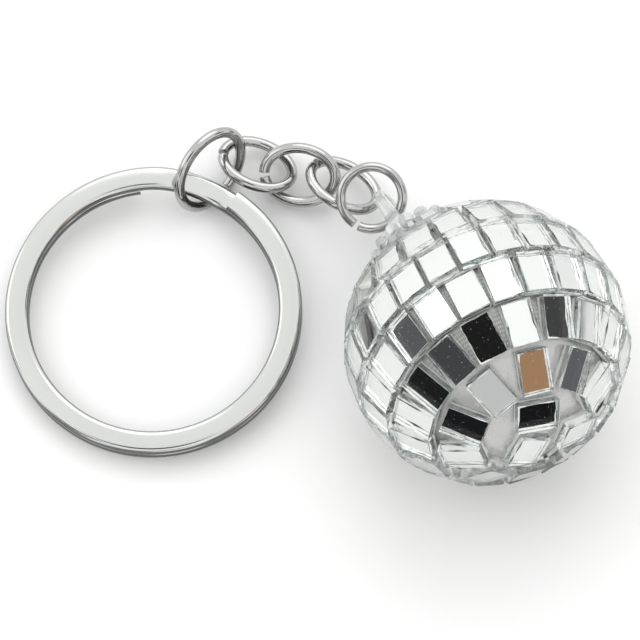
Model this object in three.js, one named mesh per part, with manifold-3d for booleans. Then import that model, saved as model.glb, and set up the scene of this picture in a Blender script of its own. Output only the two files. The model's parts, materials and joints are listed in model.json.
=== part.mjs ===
// Mirror-ball key ring: a tiled ball on a moulded cap, four chain links and a jump ring, and a split ring.
// Millimetres, +Z up, lying on a table in its resting pose. The ball, the chain and the ring are laid out
// from the ball outwards: each piece of the chain is placed by where its wire meets its neighbour's.
import * as THREE from "three";
import { mergeVertices } from "three/addons/utils/BufferGeometryUtils.js";
import Module from "manifold-3d";

const wasm = await Module();
wasm.setup();

// ---------------------------------------------------------------- driving dimensions
const RUNNING_GAP = 0.24; // between two pieces that touch loosely, such as wire on wire
const GLUE_GAP = 0.15; // glue line between the ball and what is stuck on it

// ball
const CORE_RADIUS = 13.05;
const STRIP_THICKNESS = 0.3; // woven backing that the mirror tiles come on
const STRIP_MARGIN = 0.28; // a strip is this much narrower than its tiles, on each side
const TILES_ROUND = 26; // how many tile widths go round the ball's widest line
const ROW_PITCH = 19.82; // degrees from one row to the next
const TILE_THICKNESS = 1.3;
const TILE_GAP = 0.08; // smallest gap between two tiles of one row
const ROW_GAP = 0.2; // smallest gap between two rows
const TILE_SEAT = 0.05; // how far a tile's back is pressed into its strip
const ROW_COUNT = 6;
const BALL_SIDES = 44; // facets round the ball
const RESTING_ROW = 2; // the row with a tile flat on the table, counted from the cap
const ROW_AXIS_DROP = 23.5; // degrees below the horizon of the hand-laid rows' axis, towards the cap
const ROW_AXIS_HEADING = 112.5; // degrees round from +X
// one turn value for each row, in degrees: where its first tile lies, from the underside of the ball
const ROW_TURN = [0, 12, 0, 8.2, 14.8, 8.5];

// cap
const CAP_AXIS_HEADING = 118.5;
const SEAT_HEIGHT = 5.79; // of the jump ring's seat over the table: the ball has rolled until it lies there
const CROWN_RADIUS = 4.6; // to the middle of the lower beads
const CROWN_BEADS = 16;
const CROWN_BEAD_RADIUS = 0.86;
const CROWN_HEIGHT = 1.7;
const UPPER_BEADS = 12;
const UPPER_RADIUS = 3.3;
const UPPER_BEAD_RADIUS = 0.78;
const UPPER_HEIGHT = 1.35;
const CROWN_LIFT = 0.25; // over the highest tile corner
const UPPER_SINK = 0.5; // how far the upper beads stand in the crown
const FLANGE_MARGIN = 0.35; // from the middle of the beads to the edge of the disc they stand on
const FLANGE_DROP = 0.8; // from the top of the beads to the top of their disc
const STEM_RADIUS = 1.5;
const STEM_DEPTH = 5.5; // into the ball
const STEM_CLEARANCE = 0.3;
const EYE_LENGTH = 7.7; // from the upper beads to the tip
const EYE_BASE_WIDTH = 4.4;
const EYE_BASE_THICKNESS = 1.9;
const EYE_TIP_THICKNESS = 1.1;
const EYE_WALL = 0.85; // round the slot's tip end
const EYE_WEB = 2.9; // solid part of the eye, from the upper beads to the slot
const EYE_SINK = 0.3; // how far the eye's base stands in the upper beads
const SLOT_CLEARANCE = 0.25; // beside the jump ring's wire

// chain
const LINK_WIRE = 1.24; // wire diameter
const LINK_OPENING_LENGTH = 6.66;
const LINK_OPENING_WIDTH = 4.66;
const FIRST_LINK_OPENING_LENGTH = 7.86; // the link that takes the split ring is a size larger
const FIRST_LINK_OPENING_WIDTH = 5.86;
const JUMP_WIRE = 1.1;
const JUMP_OPENING = 5.6; // inner diameter of the jump ring
const CUT_GAP = 0.45; // between the two cut ends of a link

// split ring
const RING_OUTER_RADIUS = 16;
const RING_BAND_WIDTH = 2.5;
const RING_COIL_THICKNESS = 1.3;
const RING_COIL_GAP = 0.12;
const RING_CORNER = 0.4; // rounding of the band's edges
const RING_STEPS = 120; // facets along both turns
const RING_TOP_END = 55; // heading of the upper coil's cut end, in degrees round the ring
const RING_STEP_START = 92; // heading where the upper coil starts to drop
const RING_STEP_END = 58; // and where it has become the lower coil
const RING_LOWER_OVERLAP = 5; // the lower coil's cut end, past the start of the drop
const BAND_OFF_CENTRE = 0.3; // across the first link, from its middle line to the band's
const RING_LINK_HEADING = 72; // where the band passes through the first link
const RING_RAISED_HEADING = 66; // the side of the ring that lies on the first link
const BAND_HANG = 0.56; // how far the band's middle lies under the first link's middle

// ---------------------------------------------------------------- materials
function material(color, roughness, metalness) {
  return new THREE.MeshStandardMaterial({ color, roughness, metalness });
}
const NICKEL = material(0xd9dbd8, 0.18, 1);
const CHROME = material(0xc9cccb, 0.12, 1);
const CAP_PLASTIC = material(0xf1f3f2, 0.25, 0.1);
const CORE_PEARL = material(0xc4c5c3, 0.4, 0.3);
const MIRROR = material(0xdfe5e2, 0.06, 0.9);

// ---------------------------------------------------------------- helpers
const rad = THREE.MathUtils.degToRad;

function solid(geometry, matrix = new THREE.Matrix4()) {
  const bare = geometry.clone().applyMatrix4(matrix);
  bare.deleteAttribute("normal");
  bare.deleteAttribute("uv");
  const merged = mergeVertices(bare, 1e-4);
  return new wasm.Manifold(
    new wasm.Mesh({
      numProp: 3,
      vertProperties: merged.attributes.position.array,
      triVerts: new Uint32Array(merged.index.array),
    }),
  );
}

function geometryOf(made) {
  const mesh = made.getMesh();
  const geometry = new THREE.BufferGeometry();
  geometry.setAttribute("position", new THREE.BufferAttribute(new Float32Array(mesh.vertProperties), 3));
  geometry.setIndex(new THREE.BufferAttribute(new Uint32Array(mesh.triVerts), 1));
  return geometry;
}

const joined = (solids) => solids.reduce((whole, next) => whole.add(next));

function named(name, geometry, surface) {
  const mesh = new THREE.Mesh(geometry, surface);
  mesh.name = name;
  return mesh;
}

// A closed profile of [radius, height] points, turned round +Z, with its first corner line at +X.
function turned(profile, sides) {
  const points = profile.map(([r, z]) => new THREE.Vector2(r, z));
  return new THREE.LatheGeometry(points, sides).rotateX(Math.PI / 2).rotateZ(Math.PI / 2);
}

const onArc = (radius, degrees) => [radius * Math.sin(rad(degrees)), radius * Math.cos(rad(degrees))];

// Turns +Z to a heading round the table and a drop below the horizon.
const axisTurn = (heading, drop) => new THREE.Euler(0, rad(90 + drop), rad(heading), "ZYX");

// ---------------------------------------------------------------- ball: core and mirror tiles
const TILE_BACK = CORE_RADIUS + GLUE_GAP + STRIP_THICKNESS - TILE_SEAT; // from the ball's middle
const TILE_FACE = TILE_BACK + TILE_THICKNESS;
const TILE_WIDTH = 2 * TILE_BACK * Math.tan(Math.PI / TILES_ROUND) - TILE_GAP;
const TILE_HEIGHT = 2 * TILE_BACK * Math.tan(rad(ROW_PITCH / 2)) - ROW_GAP;
const TILE_CORNER = Math.hypot(TILE_FACE, TILE_WIDTH / 2, TILE_HEIGHT / 2);

// Angle from the rows' axis to the middle of a row: the resting row's tile points straight down.
const rowAngle = (row) => 90 - ROW_AXIS_DROP + (row - RESTING_ROW) * ROW_PITCH;

// How many tiles fit round a row before their backs meet at the row's narrower edge.
function tilesInRow(row) {
  const angle = rad(rowAngle(row));
  const narrow = TILE_BACK * Math.sin(angle) - (TILE_HEIGHT / 2) * Math.abs(Math.cos(angle));
  return Math.floor(Math.PI / Math.atan((TILE_WIDTH + TILE_GAP) / 2 / narrow));
}

// A tile's place on the ball: its angle from the row axis, the heading round it, and its own twist.
function tilePlace(angle, heading, twist = 0, back = TILE_BACK) {
  const towards = new THREE.Euler(0, rad(angle), rad(heading), "ZYX");
  const place = new THREE.Matrix4().makeRotationFromEuler(towards);
  place.multiply(new THREE.Matrix4().makeRotationZ(rad(twist)));
  return place.multiply(new THREE.Matrix4().makeTranslation(0, 0, back + TILE_THICKNESS / 2));
}

const tileBlock = () => new THREE.BoxGeometry(TILE_HEIGHT, TILE_WIDTH, TILE_THICKNESS);

function stripBand(row) {
  const half = THREE.MathUtils.radToDeg((TILE_HEIGHT / 2 - STRIP_MARGIN) / TILE_BACK);
  const middle = rowAngle(row);
  const inner = CORE_RADIUS + GLUE_GAP;
  const angles = [-half, 0, half].map((offset) => middle + offset);
  const outside = angles.map((angle) => onArc(inner + STRIP_THICKNESS, angle));
  const inside = angles.map((angle) => onArc(inner, angle)).reverse();
  const profile = [...outside, ...inside, outside[0]].reverse();
  const sides = tilesInRow(row) * Math.ceil(BALL_SIDES / tilesInRow(row));
  return turned(profile, sides);
}

function mirrorRow(row) {
  const count = tilesInRow(row);
  const tiles = Array.from({ length: count }, (_, i) =>
    solid(tileBlock(), tilePlace(rowAngle(row), ROW_TURN[row] + (i * 360) / count)),
  );
  const turn = new THREE.Matrix4().makeRotationZ(rad(ROW_TURN[row]));
  const strip = solid(stripBand(row), turn);
  return named(`mirror_row_${row + 1}`, geometryOf(joined([strip, ...tiles])), MIRROR);
}

// Hand-set tiles that close the end of the ball: [angle from that end, heading, twist].
const LOOSE_TILES = [
  [33.2, 154, 1],
  [33.2, 190, -1],
  [33.2, 226, -1],
  [33.2, 262, 1],
  [33.2, 118, 1],
  [33.2, 82, 1],
  [33.2, 46, -1],
  [33.2, 10, 1],
  [33.2, 334, 0],
  [13.2, 186, 82],
  [8, 45, 18],
  [20.5, 299, 4],
];

const looseTile = ([angle, heading, twist], i) =>
  named(
    `loose_tile_${i + 1}`,
    geometryOf(solid(tileBlock(), tilePlace(180 - angle, heading, twist, CORE_RADIUS + GLUE_GAP))),
    MIRROR,
  );

function ballCore() {
  const hole = STEM_RADIUS + STEM_CLEARANCE;
  const floor = CORE_RADIUS - STEM_DEPTH - STEM_CLEARANCE;
  const mouth = THREE.MathUtils.radToDeg(Math.asin(hole / CORE_RADIUS));
  const steps = 18;
  const profile = Array.from({ length: steps + 1 }, (_, i) =>
    onArc(CORE_RADIUS, 180 - (i * (180 - mouth)) / steps),
  );
  profile[0] = [0, -CORE_RADIUS];
  profile.push([hole, floor], [0, floor]);
  return named("ball_core", turned(profile, BALL_SIDES), CORE_PEARL);
}

// ---------------------------------------------------------------- cap with its eye
const CROWN_BASE = TILE_CORNER + CROWN_LIFT;
const UPPER_BASE = CROWN_BASE + CROWN_HEIGHT - UPPER_SINK;
const EYE_BASE = UPPER_BASE + UPPER_HEIGHT - EYE_SINK;
const EYE_TIP = EYE_BASE + EYE_LENGTH;
const SLOT_HALF_WIDTH = JUMP_WIRE / 2 + SLOT_CLEARANCE;
const EYE_TIP_RADIUS = SLOT_HALF_WIDTH + EYE_WALL;
const SLOT_OUTER = EYE_TIP - EYE_WALL - SLOT_HALF_WIDTH; // middle of the slot's outer round end
const SLOT_INNER = EYE_BASE + EYE_WEB + SLOT_HALF_WIDTH; // middle of its inner round end
const SEAT_REACH = SLOT_INNER - SLOT_HALF_WIDTH + JUMP_WIRE / 2 + RUNNING_GAP; // of the jump ring's wire
const CAP_AXIS_DROP = THREE.MathUtils.radToDeg(Math.asin((TILE_FACE - SEAT_HEIGHT) / SEAT_REACH));

// A ring of upright round-topped beads.
function beads(count, ringRadius, beadRadius, base, height) {
  const straight = height - beadRadius;
  const dome = [90, 60, 30].map((angle) => onArc(beadRadius, angle)).map(([r, z]) => [r, straight + z]);
  const profile = [[0, 0], [beadRadius, 0], ...dome, [0, height]];
  const bead = turned(profile, 10);
  return Array.from({ length: count }, (_, i) => {
    const heading = (i * 2 * Math.PI) / count;
    const place = new THREE.Matrix4().makeTranslation(
      ringRadius * Math.cos(heading),
      ringRadius * Math.sin(heading),
      base,
    );
    return solid(bead, place);
  });
}

// The eye's outline: wide at the crown, narrow at its round tip, with a long slot.
function eyeOutline() {
  const foot = EYE_BASE - 2 * EYE_SINK;
  const outline = new THREE.Shape();
  outline.moveTo(-EYE_BASE_WIDTH / 2, foot);
  outline.lineTo(EYE_BASE_WIDTH / 2, foot);
  outline.lineTo(EYE_TIP_RADIUS, EYE_TIP - EYE_TIP_RADIUS);
  outline.absarc(0, EYE_TIP - EYE_TIP_RADIUS, EYE_TIP_RADIUS, 0, Math.PI, false);
  outline.closePath();
  const slot = new THREE.Path();
  slot.absarc(0, SLOT_OUTER, SLOT_HALF_WIDTH, 0, Math.PI, false);
  slot.absarc(0, SLOT_INNER, SLOT_HALF_WIDTH, Math.PI, 2 * Math.PI, false);
  slot.closePath();
  outline.holes.push(slot);
  return outline;
}

// A flat eye, thinned towards its tip.
function eyeGeometry() {
  const eye = new THREE.ExtrudeGeometry(eyeOutline(), { depth: 1, bevelEnabled: false, curveSegments: 4 });
  eye.translate(0, 0, -0.5);
  const position = eye.attributes.position;
  for (let i = 0; i < position.count; i += 1) {
    const along = THREE.MathUtils.clamp((position.getY(i) - EYE_BASE) / EYE_LENGTH, 0, 1);
    const thickness = THREE.MathUtils.lerp(EYE_BASE_THICKNESS, EYE_TIP_THICKNESS, along);
    position.setZ(i, position.getZ(i) * thickness);
  }
  return eye.rotateX(Math.PI / 2);
}

function ornamentCap() {
  const flange = turned(
    [
      [0, CROWN_BASE],
      [CROWN_RADIUS + FLANGE_MARGIN, CROWN_BASE],
      [CROWN_RADIUS + FLANGE_MARGIN, CROWN_BASE + CROWN_HEIGHT - FLANGE_DROP],
      [UPPER_RADIUS + FLANGE_MARGIN, UPPER_BASE + UPPER_SINK / 2],
      [UPPER_RADIUS + FLANGE_MARGIN, UPPER_BASE + UPPER_HEIGHT - FLANGE_DROP],
      [UPPER_RADIUS - UPPER_BEAD_RADIUS, EYE_BASE + EYE_SINK],
      [0, EYE_BASE + EYE_SINK],
    ],
    32,
  );
  const stem = turned(
    [
      [0, CORE_RADIUS - STEM_DEPTH],
      [STEM_RADIUS, CORE_RADIUS - STEM_DEPTH],
      [STEM_RADIUS, CROWN_BASE + CROWN_LIFT],
      [0, CROWN_BASE + CROWN_LIFT],
    ],
    20,
  );
  const lower = beads(CROWN_BEADS, CROWN_RADIUS, CROWN_BEAD_RADIUS, CROWN_BASE, CROWN_HEIGHT);
  const upper = beads(UPPER_BEADS, UPPER_RADIUS, UPPER_BEAD_RADIUS, UPPER_BASE, UPPER_HEIGHT);
  const parts = [solid(flange), solid(stem), solid(eyeGeometry()), ...lower, ...upper];
  return named("ornament_cap", geometryOf(joined(parts)), CAP_PLASTIC);
}

// ---------------------------------------------------------------- chain
// An oval of wire in its own XY plane, open at one place. Angles run round the oval from its +X end.
class OvalWire extends THREE.Curve {
  constructor(openingLength, openingWidth, wire, cutAngle) {
    super();
    this.halfLength = (openingLength + wire) / 2;
    this.halfWidth = (openingWidth + wire) / 2;
    const speed = this.tangent(cutAngle).length();
    this.start = rad(cutAngle) + CUT_GAP / 2 / speed;
    this.sweep = 2 * Math.PI - CUT_GAP / speed;
  }
  at(degrees) {
    const angle = rad(degrees);
    return new THREE.Vector3(this.halfLength * Math.cos(angle), this.halfWidth * Math.sin(angle), 0);
  }
  tangent(degrees) {
    const angle = rad(degrees);
    return new THREE.Vector3(-this.halfLength * Math.sin(angle), this.halfWidth * Math.cos(angle), 0);
  }
  getPoint(t, target = new THREE.Vector3()) {
    return target.copy(this.at(THREE.MathUtils.radToDeg(this.start + t * this.sweep)));
  }
}

const roundSection = (diameter, sides) =>
  new THREE.Shape(
    Array.from({ length: sides }, (_, i) => {
      const angle = (i * 2 * Math.PI) / sides;
      return new THREE.Vector2((diameter / 2) * Math.cos(angle), (diameter / 2) * Math.sin(angle));
    }),
  );

// Every piece of the chain from the cap to the split ring: how it is turned on the table (yaw, pitch, roll),
// where its wire meets the piece before it, where the next piece meets it, and where it is cut.
const JUMP = { opening: [JUMP_OPENING, JUMP_OPENING], wire: JUMP_WIRE };
const LINK = { opening: [LINK_OPENING_LENGTH, LINK_OPENING_WIDTH], wire: LINK_WIRE };
const FIRST_LINK = { opening: [FIRST_LINK_OPENING_LENGTH, FIRST_LINK_OPENING_WIDTH], wire: LINK_WIRE };
const CHAIN = [
  { ...JUMP, name: "jump_ring", turn: [-6, -5, 18], back: 326, front: 198, cut: 245 },
  { ...LINK, name: "chain_link_4", turn: [-34, 0, -26], back: 290, front: 166, side: -1, cut: 174 },
  { ...LINK, name: "chain_link_3", turn: [-10, -7, 27], back: 56, front: 232, side: -1, cut: 188 },
  { ...LINK, name: "chain_link_2", turn: [-22, 5, -21], back: 324, front: 152, side: 1, cut: 191 },
  { ...FIRST_LINK, name: "chain_link_1", turn: [54, -13, 57], back: 327, side: -1, cut: 262 },
];

function wirePiece({ name, opening, wire, turn, cut }) {
  const path = new OvalWire(opening[0], opening[1], wire, cut);
  const shape = roundSection(wire, 10);
  const mesh = named(name, new THREE.ExtrudeGeometry(shape, { steps: 36, extrudePath: path }), CHROME);
  mesh.rotation.set(rad(turn[2]), rad(turn[1]), rad(turn[0]), "ZYX");
  mesh.userData.path = path;
  mesh.userData.wire = wire;
  return mesh;
}

function wirePoint(mesh, angle) {
  return mesh.userData.path.at(angle).applyEuler(mesh.rotation).add(mesh.position);
}

function wireTangent(mesh, angle) {
  return mesh.userData.path.tangent(angle).normalize().applyEuler(mesh.rotation);
}

// Moves `next` so that its wire at `backAngle` lies beside `held`'s wire at `frontAngle`, to one side.
// The next piece then swings about the held piece's wire, and userData.hinge keeps where.
function hookOn(next, backAngle, held, frontAngle, side) {
  const across = wireTangent(held, frontAngle).cross(wireTangent(next, backAngle)).normalize();
  across.multiplyScalar(side);
  const reach = held.userData.wire / 2 + next.userData.wire / 2 + RUNNING_GAP;
  const meeting = wirePoint(held, frontAngle).addScaledVector(across, reach);
  next.position.add(meeting.sub(wirePoint(next, backAngle)));
  next.userData.hinge = { point: wirePoint(held, frontAngle), axis: wireTangent(held, frontAngle) };
}

// ---------------------------------------------------------------- split ring
// Two flat turns, one over the other, joined by a step. Runs clockwise from the upper cut end.
class SplitRingPath extends THREE.Curve {
  constructor() {
    super();
    this.radius = RING_OUTER_RADIUS - RING_BAND_WIDTH / 2;
    this.level = (RING_COIL_THICKNESS + RING_COIL_GAP) / 2;
    this.stepStart = RING_TOP_END + 360 - RING_STEP_START;
    this.stepEnd = RING_TOP_END + 360 - RING_STEP_END;
    this.total = this.stepEnd + 360 - (RING_STEP_START + RING_LOWER_OVERLAP - RING_STEP_END);
  }
  heading(t) {
    return rad(RING_TOP_END - t * this.total);
  }
  getPoint(t, target = new THREE.Vector3()) {
    const drop = THREE.MathUtils.smoothstep(t * this.total, this.stepStart, this.stepEnd);
    const angle = this.heading(t);
    return target.set(
      this.radius * Math.cos(angle),
      this.radius * Math.sin(angle),
      this.level * (1 - 2 * drop),
    );
  }
  // The band stays flat: its width is along the radius all the way round.
  computeFrenetFrames(segments) {
    const tangents = [];
    const normals = [];
    const binormals = [];
    for (let i = 0; i <= segments; i += 1) {
      const t = this.getUtoTmapping(i / segments);
      const normal = new THREE.Vector3(Math.cos(this.heading(t)), Math.sin(this.heading(t)), 0);
      tangents.push(this.getTangent(t));
      normals.push(normal);
      binormals.push(new THREE.Vector3().crossVectors(tangents[i], normal).normalize());
    }
    return { tangents, normals, binormals };
  }
}

function bandSection() {
  const x = RING_BAND_WIDTH / 2 - RING_CORNER;
  const y = RING_COIL_THICKNESS / 2 - RING_CORNER;
  const section = new THREE.Shape();
  section.absarc(x, y, RING_CORNER, 0, Math.PI / 2, false);
  section.absarc(-x, y, RING_CORNER, Math.PI / 2, Math.PI, false);
  section.absarc(-x, -y, RING_CORNER, Math.PI, 1.5 * Math.PI, false);
  section.absarc(x, -y, RING_CORNER, 1.5 * Math.PI, 2 * Math.PI, false);
  section.closePath();
  return section;
}

function splitRing() {
  const path = new SplitRingPath();
  const sweep = { steps: RING_STEPS, curveSegments: 1, extrudePath: path };
  const geometry = new THREE.ExtrudeGeometry(bandSection(), sweep);
  return named("split_ring", geometry, NICKEL);
}

// The ring lies on the table with one side lifted, its band through the far end of the first link.
function layRing(ring, firstLink) {
  const heading = rad(RING_LINK_HEADING);
  const side = rad(RING_RAISED_HEADING);
  const stack = RING_COIL_THICKNESS + RING_COIL_GAP / 2;
  const bandRadius = RING_OUTER_RADIUS - RING_BAND_WIDTH / 2;
  const reach = LINK_WIRE / 2 + Math.hypot(RING_BAND_WIDTH / 2, stack) - RING_CORNER / 4;
  const spot = new THREE.Vector3(reach - firstLink.userData.path.halfLength, BAND_OFF_CENTRE, 0);
  spot.applyEuler(firstLink.rotation).add(firstLink.position);
  // The far rim stays on the table while the band is lifted into the link.
  const arm = RING_OUTER_RADIUS + bandRadius * Math.cos(heading - side);
  const lean = Math.asin((spot.z - BAND_HANG) / Math.hypot(stack, arm)) - Math.atan(stack / arm);
  ring.quaternion.setFromAxisAngle(new THREE.Vector3(Math.sin(side), -Math.cos(side), 0), lean);
  const band = new THREE.Vector3(Math.cos(heading), Math.sin(heading), 0).multiplyScalar(bandRadius);
  band.applyQuaternion(ring.quaternion);
  ring.position.copy(spot).sub(band);
  ring.position.z = stack * Math.cos(lean) + RING_OUTER_RADIUS * Math.sin(lean);
  const along = new THREE.Vector3(Math.sin(heading), -Math.cos(heading), 0);
  along.applyQuaternion(ring.quaternion);
  ring.userData.hinge = { point: ring.position.clone().add(band), axis: along };
}

// ---------------------------------------------------------------- assembly
const root = new THREE.Group();

const ball = new THREE.Group();
ball.position.set(0, 0, TILE_FACE);
const rows = new THREE.Group();
rows.rotation.copy(axisTurn(ROW_AXIS_HEADING, ROW_AXIS_DROP));
for (let row = 0; row < ROW_COUNT; row += 1) rows.add(mirrorRow(row));
LOOSE_TILES.forEach((tile, i) => rows.add(looseTile(tile, i)));
const capEnd = new THREE.Group();
capEnd.rotation.copy(axisTurn(CAP_AXIS_HEADING, CAP_AXIS_DROP));
capEnd.add(ballCore());
const cap = ornamentCap();
capEnd.add(cap);
ball.add(rows, capEnd);
root.add(ball);

const chain = CHAIN.map(wirePiece);
const jumpRing = chain[0];
root.add(...chain);

// The jump ring's wire lies at the inner end of the eye's slot, and the eye is turned square to that wire.
const slotSeat = new THREE.Vector3(0, 0, SEAT_REACH);
slotSeat.applyEuler(capEnd.rotation).add(ball.position);
jumpRing.position.subVectors(slotSeat, wirePoint(jumpRing, CHAIN[0].back));
jumpRing.userData.hinge = { point: slotSeat, axis: wireTangent(jumpRing, CHAIN[0].back) };
const capInverse = new THREE.Quaternion().setFromEuler(capEnd.rotation).invert();
const wireInCap = wireTangent(jumpRing, CHAIN[0].back).applyQuaternion(capInverse);
cap.rotation.z = Math.atan2(wireInCap.y, wireInCap.x) - Math.PI / 2;

for (let i = 1; i < chain.length; i += 1) {
  hookOn(chain[i], CHAIN[i].back, chain[i - 1], CHAIN[i - 1].front, CHAIN[i].side);
}

const ring = splitRing();
layRing(ring, chain[chain.length - 1]);
root.add(ring);

// The origin is on the table, under the middle of the whole part.
root.updateMatrixWorld(true);
const bounds = new THREE.Box3().setFromObject(root, true);
const middle = bounds.getCenter(new THREE.Vector3());
const placed = new THREE.Group();
placed.add(root);
root.position.set(-middle.x, -middle.y, -bounds.min.z);

export default placed;
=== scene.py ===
"""Finished pieces of a mirror-ball key ring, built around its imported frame. Metres, +Z up."""

import json
import math
import random

import bmesh
import bpy
import numpy as np
from bpy.props import FloatProperty, FloatVectorProperty, IntProperty, PointerProperty
from mathutils import Euler, Matrix, Vector

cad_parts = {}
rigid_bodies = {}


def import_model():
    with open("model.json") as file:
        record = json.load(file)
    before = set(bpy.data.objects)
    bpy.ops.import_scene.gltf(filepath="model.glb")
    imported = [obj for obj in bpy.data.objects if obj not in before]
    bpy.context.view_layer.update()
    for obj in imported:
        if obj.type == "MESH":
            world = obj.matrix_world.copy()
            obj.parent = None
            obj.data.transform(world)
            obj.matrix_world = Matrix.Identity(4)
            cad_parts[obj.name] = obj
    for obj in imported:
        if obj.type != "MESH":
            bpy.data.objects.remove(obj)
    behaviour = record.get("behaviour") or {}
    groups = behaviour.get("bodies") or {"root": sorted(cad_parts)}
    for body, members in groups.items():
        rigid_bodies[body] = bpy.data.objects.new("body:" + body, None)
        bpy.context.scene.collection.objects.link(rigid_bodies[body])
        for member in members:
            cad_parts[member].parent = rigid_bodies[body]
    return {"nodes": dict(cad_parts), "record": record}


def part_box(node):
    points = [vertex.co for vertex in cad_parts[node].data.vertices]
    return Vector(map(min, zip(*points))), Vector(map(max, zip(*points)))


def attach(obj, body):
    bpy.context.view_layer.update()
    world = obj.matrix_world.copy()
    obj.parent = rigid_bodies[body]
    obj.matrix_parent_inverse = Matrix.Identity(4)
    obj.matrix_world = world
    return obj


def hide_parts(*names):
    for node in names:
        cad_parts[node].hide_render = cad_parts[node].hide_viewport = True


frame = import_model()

bl_info = {
    "name": "Mirror-ball key ring",
    "version": (1, 0, 0),
    "blender": (4, 5, 0),
    "location": "3D View > Sidebar > Key ring",
    "description": "Builds the finished pieces of a mirror-ball key ring around its packed frame",
    "category": "Object",
}

MM = 0.001
ROW_NODES = [f"mirror_row_{i}" for i in range(1, 7)]
LOOSE_NODES = [f"loose_tile_{i}" for i in range(1, 13)]
POLISHED, CUT_EDGE, SILVERED, GLUE = range(4)

ON_AXIS = 1e-9  # a smaller radius is a pole
NO_AREA = 1e-13  # a triangle's doubled area under which it has no normal
SQUARE_ON = 0.97  # cosine between a tile's face and the line from the ball's middle
TILE_FACE = 3 * MM * MM  # half a tile's face is larger, a tile's edges are smaller
SAME_POINT = 0.05 * MM
SAME_WAY = 0.03  # between unit normals
TIP_DEPTH = 0.25 * MM  # how much of a long node's end counts as its tip
DAB_POINTS, DAB_SQUARENESS = 20, 5
STRIP_SHARE = 0.43  # half a strip's width, as a share of a tile's height
STRIP_SIDES, CORE_SIDES, CORE_STEPS = 120, 128, 96
FLOOR_DROP = 0.03 * MM  # keeps the floor clear of the pieces that lie on it

# node, body, (yaw, pitch, roll) on the table, opening length and width, wire, heading of its cut;
# lengths in millimetres, angles in degrees
CHAIN = (
    ("jump_ring", "jump_ring_body", (-6, -5, 18), (5.6, 5.6), 1.1, 245),
    ("chain_link_4", "link_4_body", (-34, 0, -26), (6.66, 4.66), 1.24, 174),
    ("chain_link_3", "link_3_body", (-10, -7, 27), (6.66, 4.66), 1.24, 188),
    ("chain_link_2", "link_2_body", (-22, 5, -21), (6.66, 4.66), 1.24, 191),
    ("chain_link_1", "link_1_body", (54, -13, 57), (7.86, 5.86), 1.24, 262),
)

# how far these hand-set tiles are turned up, in degrees
PROUD_TILES = {"loose_tile_5": 6.0, "loose_tile_10": 6.0}

# what the studio shows the mirrors: towards (x, y, z), half angle and softness in degrees, colour
STUDIO_PATCHES = (
    ((-0.08, -0.24, 0.97), 11, 4, (0.012, 0.012, 0.012)),
    ((-0.52, -0.49, 0.70), 11, 4, (0.050, 0.052, 0.055)),
    ((-0.74, -0.65, 0.21), 13, 5, (0.012, 0.012, 0.013)),
    ((-0.94, -0.03, 0.34), 9, 4, (0.090, 0.093, 0.095)),
    ((-0.27, -0.95, 0.13), 13, 5, (0.010, 0.010, 0.011)),
    ((0.54, -0.83, 0.13), 12, 5, (0.008, 0.008, 0.009)),
    ((0.94, -0.32, 0.06), 12, 5, (0.100, 0.104, 0.108)),
    ((0.83, 0.15, 0.54), 9, 4, (0.050, 0.051, 0.052)),
    ((0.98, 0.21, 0.05), 9, 4, (0.280, 0.285, 0.290)),
    ((0.04, -0.87, 0.50), 12, 5, (0.500, 0.490, 0.495)),
    ((0.60, -0.58, 0.55), 11, 4, (0.330, 0.190, 0.105)),
)


def in_mm(name, description, millimetres):
    return FloatProperty(
        name=name, description=description, default=millimetres * MM, unit="LENGTH"
    )


def in_degrees(name, description, degrees):
    return FloatProperty(
        name=name, description=description, default=math.radians(degrees), subtype="ANGLE"
    )


# Node trees
class Socket:
    """An output in a node tree. Arithmetic on it adds Math nodes."""

    def __init__(self, tree, output):
        self.tree, self.output = tree, output

    def math(self, operation, *values):
        inputs = dict(enumerate((self, *values)))
        return self.tree.node("ShaderNodeMath", {"operation": operation}, inputs)

    def __add__(self, other):
        return self.math("ADD", other)

    def __sub__(self, other):
        return self.math("SUBTRACT", other)

    def __rsub__(self, other):
        return self.tree.node("ShaderNodeMath", {"operation": "SUBTRACT"}, {0: other, 1: self})

    def __mul__(self, other):
        return self.math("MULTIPLY", other)

    __radd__, __rmul__ = __add__, __mul__

    def least(self, other):
        return self.math("MINIMUM", other)

    def step(self, low, high):
        """0 below low, 1 above high, smooth between."""
        return self.tree.node(
            "ShaderNodeMapRange",
            {"interpolation_type": "SMOOTHSTEP"},
            {"Value": self, "From Min": low, "From Max": high},
        )


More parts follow.
